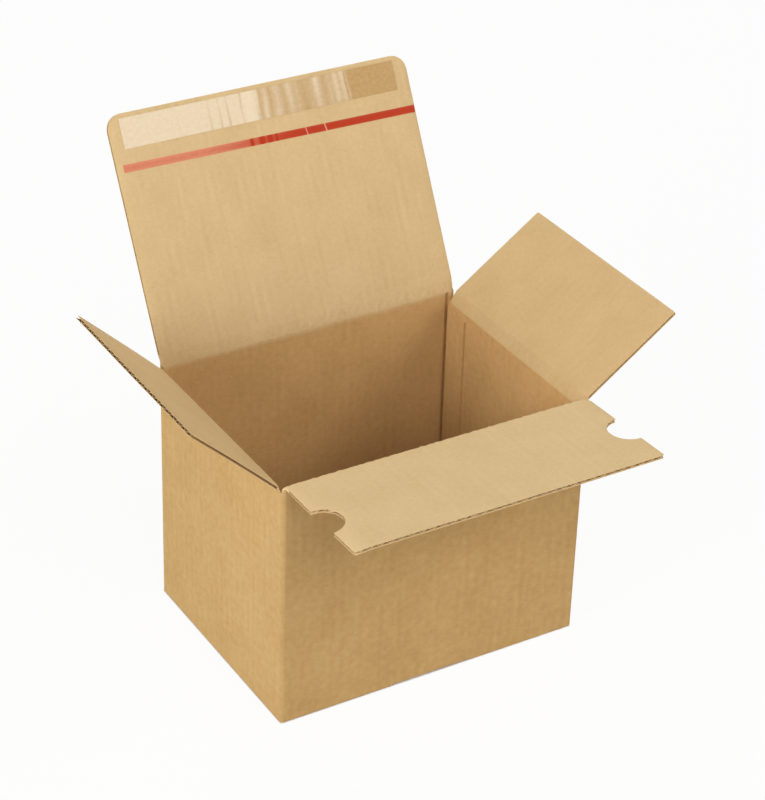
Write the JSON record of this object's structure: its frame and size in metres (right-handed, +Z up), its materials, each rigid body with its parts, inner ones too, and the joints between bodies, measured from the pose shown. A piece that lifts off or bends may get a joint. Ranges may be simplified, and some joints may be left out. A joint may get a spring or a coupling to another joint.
{
  "type": "shipping box",
  "caption": "Open shipping carton of kraft corrugated board with a hinged lid, side flaps, a notched front flap, a peel-off closing strip and a tear tape.",
  "frame": {"origin": "centre of the underside of the box, on the surface it stands on", "axes": "+X along the front wall, +Y from the front wall to the back wall that carries the lid, +Z up"},
  "size_m": [0.3139, 0.292, 0.2907],
  "materials": {
    "kraft_board_walls": "matte brown kraft liner",
    "kraft_board_flaps": "matte brown kraft liner",
    "contact_adhesive": "satin",
    "release_film": "glossy wrinkled film",
    "red_tear_tape": "satin"
  },
  "bodies": {
    "box": {"box_body": "kraft_board_walls"},
    "lid": {"lid_flap": "kraft_board_flaps", "adhesive_strip": "contact_adhesive", "release_liner": "release_film", "tear_tape": "red_tear_tape"},
    "left_side": {"left_flap": "kraft_board_flaps"},
    "right_side": {"right_flap": "kraft_board_flaps"},
    "front": {"front_flap": "kraft_board_flaps"}
  },
  "joints": [
    {"name": "lid_fold", "type": "hinge", "parent": "box", "child": "lid", "pos_m": [0, 0.0747, 0.16225], "axis": [-1, 0, 0], "range_deg": [-118, 107]},
    {"name": "left_fold", "type": "hinge", "parent": "box", "child": "left_side", "pos_m": [-0.0997, 0, 0.1551], "axis": [0, -1, 0], "range_deg": [-136.4, 88.6]},
    {"name": "right_fold", "type": "hinge", "parent": "box", "child": "right_side", "pos_m": [0.0997, 0, 0.1551], "axis": [0, 1, 0], "range_deg": [-144.5, 80.5]},
    {"name": "front_fold", "type": "hinge", "parent": "box", "child": "front", "pos_m": [0, -0.0747, 0.1585], "axis": [1, 0, 0], "range_deg": [-177.5, 47.5]}
  ]
}
